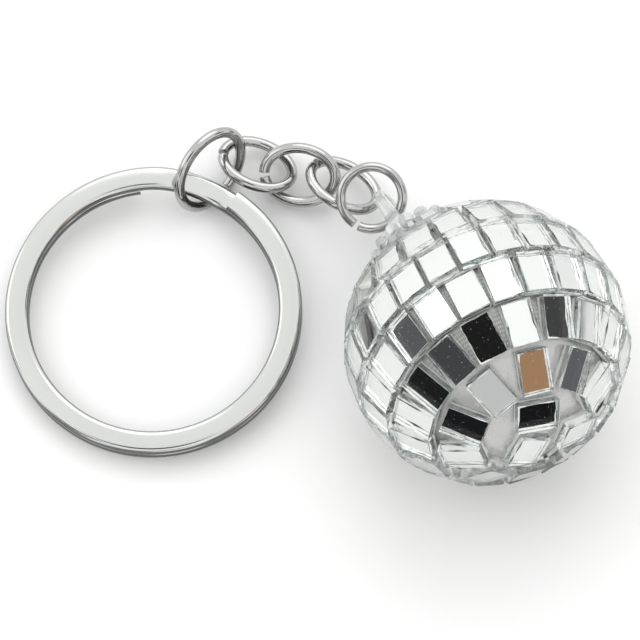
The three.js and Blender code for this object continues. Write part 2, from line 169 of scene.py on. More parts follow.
class Tree:
    """A shader, world or geometry node tree, written as expressions."""

    def __init__(self, tree):
        self.tree = tree

    def node(self, kind, settings=None, values=None, out=0):
        """Adds a node: settings, then each socket's value or link. Gives one of its outputs."""
        made = self.tree.nodes.new(kind)
        for key, value in (settings or {}).items():
            setattr(made, key, value)
        for key, value in (values or {}).items():
            socket = made.inputs[key]
            if isinstance(value, Socket):
                self.tree.links.new(value.output, socket)
            else:
                socket.default_value = value
        return Socket(self, made.outputs[out])

    def mix(self, factor, low, high):
        """A colour between two colours."""
        made = self.tree.nodes.new("ShaderNodeMix")
        made.data_type = "RGBA"
        for key, value in ((0, factor), (6, low), (7, high)):
            if isinstance(value, Socket):
                self.tree.links.new(value.output, made.inputs[key])
            else:
                made.inputs[key].default_value = (*value, 1) if key else value
        return Socket(self, made.outputs[2])

    def noise(self, where, scale, detail=2.0, roughness=0.5):
        values = {"Vector": where, "Scale": scale, "Detail": detail, "Roughness": roughness}
        return self.node("ShaderNodeTexNoise", {}, values)

    def part(self, vector, axis):
        """X, Y or Z of a vector, as 0, 1 or 2."""
        return self.node("ShaderNodeSeparateXYZ", {}, {0: vector}, out=axis)

    def attribute(self, name, kind):
        return self.node("GeometryNodeInputNamedAttribute", {"data_type": kind}, {"Name": name})

    def bump(self, height, distance, strength=1.0):
        values = {"Height": height, "Distance": distance, "Strength": strength}
        return self.node("ShaderNodeBump", {}, values)

    def stretched(self, vector, scale):
        return self.node("ShaderNodeMapping", {}, {"Vector": vector, "Scale": scale})


def principled(name, make, **constants):
    """A Principled material with constants on its sockets. make(tree, place, uv) gives the rest."""
    material = bpy.data.materials.new(name)
    material.use_nodes = True
    tree = Tree(material.node_tree)
    shader = material.node_tree.nodes["Principled BSDF"]
    for label, value in constants.items():
        shader.inputs[label.replace("_", " ")].default_value = value
    place = tree.node("ShaderNodeTexCoord", out="Object")
    flat = tree.node("ShaderNodeTexCoord", out="UV")
    for label, socket in make(tree, place, flat).items():
        material.node_tree.links.new(socket.output, shader.inputs[label])
    return material


def polished_glass():
    def vary(tree, place, _):
        dust = tree.noise(place, 5200, 3).step(0.70, 0.80)
        smear = tree.noise(place, 420, 2).step(0.55, 0.8)
        return {
            "Roughness": 0.16 * dust + 0.012 * smear,
            "Normal": tree.bump(tree.noise(place, 160, 1), 0.004 * MM),
        }

    tint = (0.985, 1.0, 0.992, 1)
    return principled(
        "tile_polished_glass", vary, Base_Color=tint, Transmission_Weight=1.0, IOR=1.5
    )


def cut_glass():
    def vary(tree, place, _):
        grain = tree.noise(place, 2600, 4, 0.6)
        shell = tree.noise(place, 900, 2)
        frost = shell.step(0.38, 0.66)
        return {
            "Base Color": tree.mix(grain, (0.93, 0.985, 0.97), (0.99, 1.0, 0.997)),
            "Roughness": 0.02 + 0.2 * frost,
            "Normal": tree.bump(grain + 1.5 * shell, 0.03 * MM),
        }

    return principled("tile_cut_edge", vary, Transmission_Weight=1.0, IOR=1.5)


def silver_backing(height, width):
    def vary(tree, place, flat):
        u, v = tree.part(flat, 0), tree.part(flat, 1)
        edge = (u.least(1 - u) * (height / MM)).least(v.least(1 - v) * (width / MM))
        ragged = edge - 0.30 * tree.noise(place, 1500, 4, 0.65)
        kept = ragged.step(-0.09, -0.05)
        pits = tree.noise(place, 6800, 1).step(0.735, 0.76)
        return {
            "Base Color": tree.mix(kept, (0.60, 0.64, 0.62), (0.735, 0.75, 0.742)),
            "Metallic": kept * (1 - 0.6 * pits),
            "Roughness": 0.5 - 0.485 * kept + 0.3 * pits,
        }

    return principled("tile_silver_backing", vary)


def clear_glue():
    def vary(tree, place, _):
        lump = tree.noise(place, 1400, 3)
        return {
            "Base Color": tree.mix(lump, (0.70, 0.71, 0.70), (0.88, 0.89, 0.88)),
            "Roughness": 0.12 + 0.3 * lump,
            "Normal": tree.bump(lump, 0.08 * MM),
        }

    return principled("tile_glue", vary, Coat_Weight=0.5)


def woven_ribbon():
    def vary(tree, _, flat):
        warp, weft = (
            tree.node(
                "ShaderNodeTexWave",
                {"bands_direction": direction},
                {"Vector": flat, "Scale": threads, "Distortion": 0.4},
                out="Fac",
            )
            for direction, threads in (("X", 95.0), ("Y", 6.0))
        )
        weave = warp * weft
        return {
            "Base Color": tree.mix(weave, (0.42, 0.43, 0.42), (0.80, 0.80, 0.79)),
            "Roughness": 0.85 - 0.2 * weave,
            "Normal": tree.bump(weave, 0.06 * MM),
        }

    return principled("strip_weave", vary, Sheen_Weight=0.3)


def pearl_core():
    def vary(tree, place, _):
        cloud = tree.noise(place, 130, 3)
        scuff = tree.noise(place, 900, 4).step(0.52, 0.75)
        return {
            "Base Color": tree.mix(cloud, (0.50, 0.505, 0.50), (0.66, 0.66, 0.655)),
            "Roughness": 0.24 + 0.22 * scuff,
            "Normal": tree.bump(tree.noise(place, 420, 3), 0.02 * MM),
        }

    return principled("core_pearl", vary, Metallic=0.25, Coat_Weight=0.4, Coat_Roughness=0.12)


def moulded_clear():
    def vary(tree, place, _):
        flow = tree.noise(place, 300, 2)
        return {
            "Base Color": tree.mix(flow, (0.80, 0.815, 0.81), (0.93, 0.94, 0.935)),
            "Roughness": 0.02 + 0.1 * tree.noise(place, 1100, 3),
            "Normal": tree.bump(flow, 0.05 * MM),
        }

    return principled(
        "cap_clear_plastic",
        vary,
        Transmission_Weight=0.72,
        IOR=1.46,
        Coat_Weight=0.6,
        Coat_Roughness=0.04,
    )


def bright_plate(name, dark, light, wear):
    def vary(tree, place, _):
        cloud = tree.noise(place, 260, 3)
        scratch = tree.noise(tree.stretched(place, (1, 5, 2)), 1500, 4)
        worn = scratch.step(0.56, 0.72)
        return {
            # Base colour in soft patches between dark and light: partly uneven plating, partly
            # painted reflection of dark surroundings on the wire.
            "Base Color": tree.mix(cloud, dark, light),
            "Roughness": wear + 0.05 * cloud + 0.16 * worn,
            "Normal": tree.bump(scratch + 3 * cloud, 0.006 * MM),
        }

    return principled(name, vary, Metallic=1.0)


def polished_band():
    def vary(tree, place, flat):
        lap = tree.noise(tree.stretched(flat, (12, 340, 1)), 1.0, 4)
        cloud = tree.noise(place, 140, 3)
        nick = tree.noise(place, 2400, 2).step(0.70, 0.78)
        across = tree.part(flat, 1)
        # Painted shade: wall marks the band's outermost and innermost rims, which are painted
        # near-black for the dark lines along its edges.
        wall = across.step(0.9895, 0.9945) + 1 - across.step(0.8493, 0.8543)
        face = tree.mix(cloud, (0.54, 0.545, 0.53), (0.585, 0.59, 0.575))
        return {
            "Base Color": tree.mix(wall, face, (0.13, 0.132, 0.135)),
            "Roughness": 0.10 + 0.07 * lap + 0.2 * nick,
            "Normal": tree.bump(lap, 0.004 * MM),
        }

    return principled("ring_nickel", vary, Metallic=1.0)


def studio_floor():
    def vary(tree, place, _):
        tone = tree.noise(place, 9, 2)
        return {
            "Base Color": tree.mix(tone, (0.90, 0.90, 0.90), (0.91, 0.91, 0.91)),
            "Roughness": 0.6 + 0.08 * tree.noise(place, 300, 2),
        }

    return principled("floor_pale", vary)


# What the frame says
class Surface:
    """The triangles of a CAD node: their corners, middles, unit normals and areas."""

    def __init__(self, node):
        mesh = frame["nodes"][node].data
        mesh.calc_loop_triangles()
        points = np.array([v.co for v in mesh.vertices], float)
        corners = points[np.array([t.vertices for t in mesh.loop_triangles])]
        across = np.cross(corners[:, 1] - corners[:, 0], corners[:, 2] - corners[:, 0])
        length = np.linalg.norm(across, axis=1)
        kept = length > NO_AREA
        self.corners = corners[kept]
        self.areas = length[kept] / 2
        self.normals = across[kept] / length[kept, None]
        self.middles = self.corners.mean(axis=1)

    def facing_out(self, centre):
        """Marks the large triangles that lie square to the line from a centre."""
        out = self.middles - centre
        out /= np.linalg.norm(out, axis=1)[:, None]
        return ((self.normals * out).sum(1) > SQUARE_ON) & (self.areas > TILE_FACE)


class TileSpot:
    """Where one tile's outer face lies, and how large it is."""

    def __init__(self, corners):
        points = []
        for point in corners.reshape(-1, 3):
            if all(np.linalg.norm(point - other) > SAME_POINT for other in points):
                points.append(point)
        points = np.array(points)
        order = np.argsort(np.linalg.norm(points - points[0], axis=1))
        self.centre = (points[0] + points[order[-1]]) / 2
        side, length = points[order[1]] - points[0], points[order[2]] - points[0]
        self.width, self.height = np.linalg.norm(side), np.linalg.norm(length)
        self.up = length / self.height
        self.side = side / self.width

    def turned_out(self, centre, towards):
        """Settles which way is out of the ball and which way is up the ball."""
        if self.up @ towards < 0:
            self.up = -self.up
        self.out = np.cross(self.up, self.side)
        if self.out @ (self.centre - centre) < 0:
            self.out, self.side = -self.out, -self.side
        self.side = np.cross(self.out, self.up)
        return self

    def turn_up(self, degrees):
        """Turns the tile's face towards the sky."""
        level = Vector(self.out).cross((0, 0, 1))
        turn = np.array(Matrix.Rotation(math.radians(degrees), 3, level))
        self.up, self.side, self.out = turn @ self.up, turn @ self.side, turn @ self.out

    def turn(self):
        columns = Matrix((self.up, self.side, self.out)).transposed()
        return columns.to_euler("XYZ")


class Ball:
    """The ball's middle, the reach of its tiles and every tile's place, measured on the frame."""

    def __init__(self):
        low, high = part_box("ball_core")
        rough = np.array((low + high) / 2)
        surfaces = {node: Surface(node) for node in ROW_NODES}
        picked = {node: s.facing_out(rough) for node, s in surfaces.items()}
        normals = np.concatenate([s.normals[picked[node]] for node, s in surfaces.items()])
        middles = np.concatenate([s.middles[picked[node]] for node, s in surfaces.items()])
        sides = np.hstack([normals, np.ones((len(normals), 1))])
        found = np.linalg.lstsq(sides, (normals * middles).sum(1), rcond=None)[0]
        self.centre, self.reach = found[:3], found[3]
        self.cap_axis = self.axis_of("ornament_cap")
        self.rows = {node: self.spots(surfaces[node], picked[node]) for node in ROW_NODES}
        self.loose = {}
        for node in LOOSE_NODES:
            surface = Surface(node)
            self.loose[node] = self.spots(surface, surface.facing_out(self.centre))[0]
        first = self.rows[ROW_NODES[0]][0]
        self.tile_height, self.tile_width = first.height, first.width

    def axis_of(self, node):
        """From the ball's middle to the far end of a long node."""
        points = Surface(node).corners.reshape(-1, 3) - self.centre
        reach = np.linalg.norm(points, axis=1)
        far = np.unique(np.round(points[reach > reach.max() - TIP_DEPTH], 7), axis=0).mean(axis=0)
        return far / np.linalg.norm(far)

    def spots(self, surface, picked):
        groups = {}
        for i in np.flatnonzero(picked):
            groups.setdefault(tuple(np.round(surface.normals[i], 2)), []).append(surface.corners[i])
        merged = []
        for normal, corners in groups.items():
            for other in merged:
                if np.linalg.norm(np.array(normal) - other[0]) < SAME_WAY:
                    other[1].extend(corners)
                    break
            else:
                merged.append((np.array(normal), list(corners)))
        return [TileSpot(np.array(c)).turned_out(self.centre, self.cap_axis) for _, c in merged]


def row_axis(spots, towards):
    """The line that a row of tiles runs round."""
    middles = np.array([s.centre for s in spots])
    axis = np.linalg.svd(middles - middles.mean(axis=0))[2][2]
    return axis if axis @ towards > 0 else -axis


# Meshes
def as_object(name, mesh):
    piece = bpy.data.objects.new(name, mesh)
    bpy.context.scene.collection.objects.link(piece)
    return piece


def plain(piece, name=None):
    """The evaluated object as a plain mesh object, in place of the first."""
    graph = bpy.context.evaluated_depsgraph_get()
    mesh = bpy.data.meshes.new_from_object(
        piece.evaluated_get(graph), preserve_all_data_layers=True, depsgraph=graph
    )
    name = name or piece.name
    bpy.data.objects.remove(piece)
    mesh.name = name
    return as_object(name, mesh)


def grown(name, tree, inputs, seed_mesh=None, bevel=0.0):
    """Runs a geometry tree with its named inputs, and gives its result as a plain mesh object."""
    piece = as_object(name + "_seed", seed_mesh or bpy.data.meshes.new(name))
    modifier = piece.modifiers.new("grow", "NODES")
    modifier.node_group = tree
    keys = {
        item.name: item.identifier
        for item in tree.interface.items_tree
        if item.item_type == "SOCKET" and item.in_out == "INPUT"
    }
    for label, value in inputs.items():
        modifier[keys[label]] = value
    if bevel:
        rounding = piece.modifiers.new("rounding", "BEVEL")
        rounding.width, rounding.segments, rounding.limit_method = bevel, 2, "ANGLE"
        rounding.angle_limit = math.radians(50)
    return plain(piece, name)


def geometry_tree(name, inputs):
    """A new geometry tree with named inputs. Gives the tree and its inputs by name."""
    group = bpy.data.node_groups.new(name, "GeometryNodeTree")
    group.interface.new_socket("Geometry", in_out="INPUT", socket_type="NodeSocketGeometry")
    group.interface.new_socket("Geometry", in_out="OUTPUT", socket_type="NodeSocketGeometry")
    for label, kind in inputs.items():
        group.interface.new_socket(label, in_out="INPUT", socket_type="NodeSocket" + kind)
    tree = Tree(group)
    entry = group.nodes.new("NodeGroupInput")
    return group, tree, {s.name: Socket(tree, s) for s in entry.outputs if s.name}


def end_tree(tree, geometry):
    leave = tree.tree.nodes.new("NodeGroupOutput")
    tree.tree.links.new(geometry.output, leave.inputs[0])


def realized(tree, geometry):
    return tree.node("GeometryNodeRealizeInstances", {}, {"Geometry": geometry})


def set_material(tree, geometry, material, selection=None):
    values = {"Geometry": geometry, "Material": material}
    if selection is not None:
        values["Selection"] = selection
    return tree.node("GeometryNodeSetMaterial", {}, values)


def shade(piece, angle=35):
    """Smooth shading with sharp edges past an angle."""
    for face in piece.data.polygons:
        face.use_smooth = True
    piece.data.set_sharp_from_angle(angle=math.radians(angle))


def baked(mesh, name):
    """A bmesh as mesh data. The bmesh is freed."""
    made = bpy.data.meshes.new(name)
    mesh.to_mesh(made)
    mesh.free()
    return made


def wrap(mesh, rings, kind, number):
    """Joins each ring of points to the next with faces of one kind."""
    for upper, lower in zip(rings, rings[1:]):
        for i in range(len(upper)):
            j = (i + 1) % len(upper)
            mesh.faces.new((upper[i], lower[i], lower[j], upper[j]))[kind] = number


def lathe(profile, sides, matrix=None):
    """Turns a profile of (radius, height) round Z into a closed mesh with UVs.

    Points on the axis become poles. A profile that ends where it starts makes a ring.
    """
    mesh = bmesh.new()
    flat = mesh.loops.layers.uv.new("UVMap")
    closed = profile[0] == profile[-1]
    rings = []
    for radius, height in profile[:-1] if closed else profile:
        count = sides if radius > ON_AXIS else 1
        rings.append([
            mesh.verts.new((
                radius * math.cos(2 * math.pi * i / sides),
                radius * math.sin(2 * math.pi * i / sides),
                height,
            ))
            for i in range(count)
        ])
    if closed:
        rings.append(rings[0])
    for k, (low, high) in enumerate(zip(rings, rings[1:])):
        for i in range(sides):
            j = (i + 1) % sides
            corners = [(low, i), (low, j), (high, j), (high, i)]
            verts = list(dict.fromkeys(ring[n % len(ring)] for ring, n in corners))
            if len(verts) < 3:
                continue
            face = mesh.faces.new(verts)
            for loop in face.loops:
                up = 1 if loop.vert in high else 0
                turn = i if loop.vert in (low[i % len(low)], high[i % len(high)]) else i + 1
                loop[flat].uv = (turn / sides, (k + up) / (len(rings) - 1))
    bmesh.ops.recalc_face_normals(mesh, faces=mesh.faces)
    made = baked(mesh, "turned")
    if matrix is not None:
        made.transform(matrix)
    return made


def frame_matrix(origin, axis, across=None):
    """A matrix with its Z along axis at origin, and its Y as near across as it can be."""
    z = Vector(axis).normalized()
    y = Vector(across if across is not None else (0.3, 0.8, 0.5))
    y = (y - z * y.dot(z)).normalized()
    x = y.cross(z)
    turn = Matrix((x, y, z)).transposed().to_4x4()
    return Matrix.Translation(Vector(origin)) @ turn


# Ball
def cut_tile(seed, height, width, thickness, bed, chip):
    """One cut mirror tile on its bed, its front at Z 0, with snapped edges and a chipped rim."""
    rng = random.Random(seed)
    steps = 4
    outline = []
    for x0, y0, x1, y1 in ((-1, -1, 1, -1), (1, -1, 1, 1), (1, 1, -1, 1), (-1, 1, -1, -1)):
        for i in range(steps):
            t = (i + (rng.uniform(-0.2, 0.2) if i else 0)) / steps
            outline.append(((x0 + (x1 - x0) * t) * height / 2, (y0 + (y1 - y0) * t) * width / 2))
    chips = [
        chip * (rng.uniform(0.15, 0.5) if rng.random() < 0.72 else rng.uniform(0.8, 2.0))
        for _ in outline
    ]
    levels = (
        [(c, 0.0) for c in chips],
        [(rng.uniform(0.0, 0.015) * MM, c * rng.uniform(0.6, 1.1)) for c in chips],
        [(rng.uniform(0.0, 0.05) * MM, thickness * rng.uniform(0.4, 0.6)) for _ in outline],
        [(rng.uniform(0.01, 0.04) * MM, thickness) for _ in outline],
    )
    mesh = bmesh.new()
    flat = mesh.loops.layers.uv.new("UVMap")
    kind = mesh.faces.layers.int.new("face_kind")
    loops = []
    for level in levels:
        ring = []
        for (x, y), (inset, depth) in zip(outline, level):
            point = (x * (1 - 2 * inset / height), y * (1 - 2 * inset / width), -depth)
            ring.append(mesh.verts.new(point))
        loops.append(ring)
    wrap(mesh, loops, kind, CUT_EDGE)
    mesh.faces.new(loops[0])[kind] = POLISHED
    mesh.faces.new(list(reversed(loops[-1])))[kind] = SILVERED
    top, foot = ([
        mesh.verts.new((x * share, y * share, -depth)) for x, y in outline
    ] for share, depth in ((0.955, thickness + 0.01 * MM), (0.985 - 0.02 * rng.random(), bed)))
    wrap(mesh, (top, foot), kind, GLUE)
    mesh.faces.new(top)[kind] = GLUE
    mesh.faces.new(list(reversed(foot)))[kind] = GLUE
    for face in mesh.faces:
        for loop in face.loops:
            x, y, _ = loop.vert.co
            loop[flat].uv = (x / height + 0.5, y / width + 0.5)
    return baked(mesh, f"cut_tile_{seed}")


def glue_dab(seed, height, width, top, drop):
    """The glue under a hand-set tile, from under its back down to the core."""
    rng = random.Random(seed)
    mesh = bmesh.new()
    kind = mesh.faces.layers.int.new("face_kind")
    rings = []
    for depth, share in ((top, 0.86), (top + drop * 0.5, 0.93), (top + drop, 0.97)):
        ring = []
        for i in range(DAB_POINTS):
            a = 2 * math.pi * i / DAB_POINTS
            grow = share * rng.uniform(0.93, 1.04)
            c, s = math.cos(a), math.sin(a)
            power = abs(c) ** DAB_SQUARENESS + abs(s) ** DAB_SQUARENESS
            square = 1 / power ** (1 / DAB_SQUARENESS)
            x, y = c * square * height / 2 * grow, s * square * width / 2 * grow
            ring.append(mesh.verts.new((x, y, -depth)))
        rings.append(ring)
    wrap(mesh, rings, kind, GLUE)
    mesh.faces.new(rings[0])[kind] = GLUE
    mesh.faces.new(list(reversed(rings[-1])))[kind] = GLUE
    return baked(mesh, f"glue_dab_{seed}")


def tile_tree(materials):
    """Sets a cut tile on each point, turned as the point says and tilted a little by hand."""
    group, tree, given = geometry_tree(
        "set_tiles", {"Tiles": "Collection", "Tilt": "Float", "Seed": "Int"}
    )
    tiles = tree.node(
        "GeometryNodeCollectionInfo",
        {},
        {"Collection": given["Tiles"], "Separate Children": True, "Reset Children": True},
    )
    turn = tree.attribute("turn", "FLOAT_VECTOR")
    pick = tree.attribute("pick", "INT")
    square = tree.node("FunctionNodeEulerToRotation", {}, {"Euler": turn})
    lean = tree.node(
        "FunctionNodeRandomValue",
        {"data_type": "FLOAT_VECTOR"},
        {0: (-1, -1, -0.6), 1: (1, 1, 0.6), "Seed": given["Seed"]},
    )
    lean = tree.node(
        "ShaderNodeVectorMath", {"operation": "SCALE"}, {0: lean, "Scale": given["Tilt"]}
    )
    tilt = tree.node("FunctionNodeEulerToRotation", {}, {"Euler": lean})
    turned = tree.node(
        "FunctionNodeRotateRotation",
        {"rotation_space": "LOCAL"},
        {"Rotation": square, "Rotate By": tilt},
    )
    placed = tree.node(
        "GeometryNodeInstanceOnPoints",
        {},
        {
            "Points": given["Geometry"],
            "Instance": tiles,
            "Pick Instance": True,
            "Instance Index": pick,
            "Rotation": turned,
        },
    )
    whole = realized(tree, placed)
    kind = tree.attribute("face_kind", "INT")
    for number, material in materials.items():
        settings = {"data_type": "INT", "operation": "EQUAL"}
        chosen = tree.node("FunctionNodeCompare", settings, {2: kind, 3: number})
        whole = set_material(tree, whole, material, chosen)
    end_tree(tree, whole)
    return group


def points_mesh(spots, picks):
    """One vertex on each tile's outer face, with how it is turned and which tile it takes."""
    mesh = bpy.data.meshes.new("tile_points")
    mesh.from_pydata([tuple(s.centre) for s in spots], [], [])
    turn = mesh.attributes.new("turn", "FLOAT_VECTOR", "POINT")
    turn.data.foreach_set("vector", np.array([tuple(s.turn()) for s in spots], np.float32).ravel())
    pick = mesh.attributes.new("pick", "INT", "POINT")
    pick.data.foreach_set("value", picks)
    return mesh


class KEYRING_PG_ball(bpy.types.PropertyGroup):
    glass: in_mm("Glass", "Thickness of the cut mirror tiles' glass", 0.95)
    tile_bed: in_mm("Tile bed", "From a tile's front to the foot of its paint and glue", 1.3)
    chip: in_mm("Chipping", "Usual width of the chips round a tile's rim", 0.085)
    tilt: in_degrees("Tilt", "How far a hand-set tile leans", 0.75)
    tile_cuts: IntProperty(
        name="Tile cuts", description="How many differently chipped tiles there are", default=9
    )
    seed: IntProperty(name="Seed", description="Settles the chips and tilts", default=11)
    strip_gap: in_mm("Strip under tile", "From a tile's back to its strip", 0.02)
    strip_thickness: in_mm("Strip thickness", "Woven ribbon under the rows", 0.24)
    core_radius: in_mm("Core radius", "Moulded ball under the tiles", 13.05)
    socket_radius: in_mm("Socket radius", "Hole in the core for the cap's stem", 1.8)
    socket_depth: in_mm("Socket depth", "How deep that hole is", 5.8)


class KEYRING_OT_mirror_tiles(bpy.types.Operator):
    """Cut mirror tiles in six rows and the hand-set ones that close the end of the ball"""

    bl_idname = "keyring.mirror_tiles"
    bl_label = "Mirror tiles"

    def execute(self, context):
        given, ball = context.scene.keyring_ball, Ball()
        height, width = ball.tile_height, ball.tile_width
        materials = {
            POLISHED: polished_glass(),
            CUT_EDGE: cut_glass(),
            SILVERED: silver_backing(height, width),
            GLUE: clear_glue(),
        }
        tiles = bpy.data.collections.new("cut_tiles")
        for i in range(given.tile_cuts):
            mesh = cut_tile(given.seed + i, height, width, given.glass, given.tile_bed, given.chip)
            tiles.objects.link(bpy.data.objects.new(f"cut_tile_{i:02d}", mesh))
        tree = tile_tree(materials)
        rng = random.Random(given.seed)
        for k, node in enumerate(ROW_NODES):
            spots = ball.rows[node]
            picks = [rng.randrange(given.tile_cuts) for _ in spots]
            values = {"Tiles": tiles, "Tilt": given.tilt, "Seed": given.seed + k}
            piece = grown(node + "_tiles", tree, values, points_mesh(spots, picks))
            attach(piece, "ball_body")
            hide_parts(node)
        dabs = bpy.data.collections.new("glue_dabs")
        for i in range(4):
            mesh = glue_dab(given.seed + i, height, width, given.tile_bed + 0.01 * MM, 0.4 * MM)
            dabs.objects.link(bpy.data.objects.new(f"glue_dab_{i}", mesh))
        for node, degrees in PROUD_TILES.items():
            ball.loose[node].turn_up(degrees)
        spots = [ball.loose[node] for node in LOOSE_NODES]
        for name, parts in (("hand_set_tiles", tiles), ("hand_set_glue", dabs)):
            picks = [rng.randrange(len(parts.objects)) for _ in spots]
            tilt = 2 * given.tilt if parts == tiles else 0.0
            values = {"Tiles": parts, "Tilt": tilt, "Seed": given.seed}
            piece = grown(name, tree, values, points_mesh(spots, picks))
            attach(piece, "ball_body")
            if parts == tiles:
                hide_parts(*LOOSE_NODES)
        return {"FINISHED"}


class KEYRING_OT_woven_strips(bpy.types.Operator):
    """Woven ribbon that carries each row of tiles"""

    bl_idname = "keyring.woven_strips"
    bl_label = "Woven strips"

    def execute(self, context):
        given, ball = context.scene.keyring_ball, Ball()
        ribbon = woven_ribbon()
        outer = ball.reach - given.tile_bed - given.strip_gap
        inner = outer - given.strip_thickness
        half = math.atan(STRIP_SHARE * ball.tile_height / outer)
        for node in ROW_NODES:
            spots = ball.rows[node]
            axis = row_axis(spots, ball.cap_axis)
            heights = [(s.centre - ball.centre) @ axis / ball.reach for s in spots]
            middle = math.acos(float(np.mean(heights)))
            turns = [middle + half * (i / 4 - 1) for i in range(9)]
            ring = [(outer * math.sin(a), outer * math.cos(a)) for a in turns]
            ring += [(inner * math.sin(a), inner * math.cos(a)) for a in reversed(turns)]
            place = frame_matrix(ball.centre, axis)
            piece = as_object(node + "_strip", lathe([*ring, ring[0]], STRIP_SIDES, place))
            piece.data.materials.append(ribbon)
            shade(piece)
            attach(piece, "ball_body")
        return {"FINISHED"}


class KEYRING_OT_core(bpy.types.Operator):
    """Moulded pearl core with its parting line and the socket for the cap"""

    bl_idname = "keyring.core"
    bl_label = "Ball core"

    def execute(self, context):
        given, ball = context.scene.keyring_ball, Ball()
        mouth = math.asin(given.socket_radius / given.core_radius)
        seam_depth, seam_width = 0.03 * MM, 0.18 * MM
        profile = []
        for i in range(CORE_STEPS + 1):
            a = math.pi - i * (math.pi - mouth) / CORE_STEPS
            off_seam = (a - math.pi / 2) * given.core_radius / seam_width
            radius = given.core_radius - seam_depth * math.exp(-(off_seam**2))
            profile.append((radius * math.sin(a) if i else 0.0, radius * math.cos(a)))
        floor = given.core_radius - given.socket_depth
        profile += [(given.socket_radius, floor), (0.0, floor)]
        place = frame_matrix(ball.centre, ball.cap_axis)
        piece = as_object("pearl_core", lathe(profile, CORE_SIDES, place))
        piece.data.materials.append(pearl_core())
        shade(piece)
        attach(piece, "ball_body")
        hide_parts("ball_core")
        return {"FINISHED"}


# Cap
class KEYRING_PG_cap(bpy.types.PropertyGroup):
    lift: in_mm("Crown lift", "From the tile corners to the crown", 0.25)
    crown_beads: IntProperty(name="Crown beads", description="Beads in the lower tier", default=16)
    crown_radius: in_mm("Crown radius", "To the middle of the lower beads", 4.6)
    crown_bead: in_mm("Crown bead radius", "Radius of a lower bead", 0.84)
    crown_height: in_mm("Crown height", "Height of the lower beads", 1.7)
    upper_beads: IntProperty(name="Upper beads", description="Beads in the upper tier", default=12)
    upper_radius: in_mm("Upper radius", "To the middle of the upper beads", 3.3)
    upper_bead: in_mm("Upper bead radius", "Radius of an upper bead", 0.76)
    upper_height: in_mm("Upper height", "Height of the upper beads", 1.35)
    upper_sink: in_mm("Upper sink", "How far the upper beads stand in the crown", 0.5)
    eye_length: in_mm("Eye length", "From the upper beads to the tip", 7.7)
    eye_base_width: in_mm("Eye base width", "Where the eye leaves the beads", 4.4)
    eye_wall: in_mm("Eye wall", "Round the slot's tip end", 0.85)
    eye_web: in_mm("Eye web", "Solid part between the beads and the slot", 2.9)
    slot_half_width: in_mm("Slot half width", "Half of the slot for the jump ring", 0.8)
    base_thickness: in_mm("Base thickness", "Eye at the beads", 1.9)
    tip_thickness: in_mm("Tip thickness", "Eye at its tip", 1.1)
    stem_radius: in_mm("Stem radius", "Stem in the ball's socket", 1.5)
    stem_foot: in_mm("Stem foot", "From the ball's middle to the stem's end", 7.55)
    grain: in_mm("Moulding grain", "Fineness of the moulded fillets", 0.1)


def bead_tree(material):
    """Stands a bead on each point of a circle."""
    group, tree, given = geometry_tree(
        "bead_ring", {"Bead": "Object", "Beads": "Int", "Ring radius": "Float", "Base": "Float"}
    )
    sizes = {"Vertices": given["Beads"], "Radius": given["Ring radius"]}
    circle = tree.node("GeometryNodeMeshCircle", {}, sizes)
    base = tree.node("ShaderNodeCombineXYZ", {}, {"Z": given["Base"]})
    circle = tree.node("GeometryNodeSetPosition", {}, {"Geometry": circle, "Offset": base})
    source = {"Object": given["Bead"], "As Instance": True}
    bead = tree.node("GeometryNodeObjectInfo", {}, source, out="Geometry")
    beads = tree.node("GeometryNodeInstanceOnPoints", {}, {"Points": circle, "Instance": bead})
    end_tree(tree, set_material(tree, realized(tree, beads), material))
    return group


def bead_profile(radius, height):
    """A round-topped peg, from its foot to its crown."""
    straight = height - radius
    angles = np.linspace(math.pi / 2, 0.2, 6)
    dome = [(radius * math.sin(a), straight + radius * math.cos(a)) for a in angles]
    return [(0.0, 0.0), (radius, 0.0), *dome, (0.0, height)]


def arc(radius, middle, start, end, steps=16):
    angles = np.linspace(math.radians(start), math.radians(end), steps)
    return [(radius * math.cos(a), middle + radius * math.sin(a)) for a in angles]


def eye_plate(given, base):
    """The flat eye with its long slot, thinned towards its tip. X across, Z along, Y through."""
    tip = base + given.eye_length
    round_tip = given.slot_half_width + given.eye_wall
    half, root = given.eye_base_width / 2, base - 0.6 * MM
    outer = [(-half, root), (half, root)]
    outer += arc(round_tip, tip - round_tip, 0, 180)
    far, near = tip - round_tip, base + given.eye_web + given.slot_half_width
    slot = arc(given.slot_half_width, far, 0, 180) + arc(given.slot_half_width, near, 180, 360)
    curve = bpy.data.curves.new("eye", "CURVE")
    curve.dimensions, curve.fill_mode = "2D", "BOTH"
    rounding = 0.26 * MM
    curve.extrude = given.base_thickness / 2 - rounding
    curve.bevel_depth, curve.bevel_resolution, curve.offset = rounding, 3, -rounding
    for points in (outer, slot):
        spline = curve.splines.new("POLY")
        spline.points.add(len(points) - 1)
        for point, (x, y) in zip(spline.points, points):
            point.co = (x, y, 0, 1)
        spline.use_cyclic_u = True
    piece = plain(as_object("eye", curve))
    shape = np.array([v.co for v in piece.data.vertices], float)
    along = np.clip((shape[:, 1] - base) / given.eye_length, 0, 1)
    shape[:, 2] *= 1 + (given.tip_thickness / given.base_thickness - 1) * along
    turned = np.stack([shape[:, 0], -shape[:, 2], shape[:, 1]], axis=1)
    piece.data.vertices.foreach_set("co", turned.astype(np.float32).ravel())
    return piece


def joined(pieces, name):
    """Several mesh objects as one."""
    mesh = bmesh.new()
    for piece in pieces:
        mesh.from_mesh(piece.data)
        bpy.data.objects.remove(piece)
    bmesh.ops.remove_doubles(mesh, verts=mesh.verts, dist=1e-7)
    return as_object(name, baked(mesh, name))


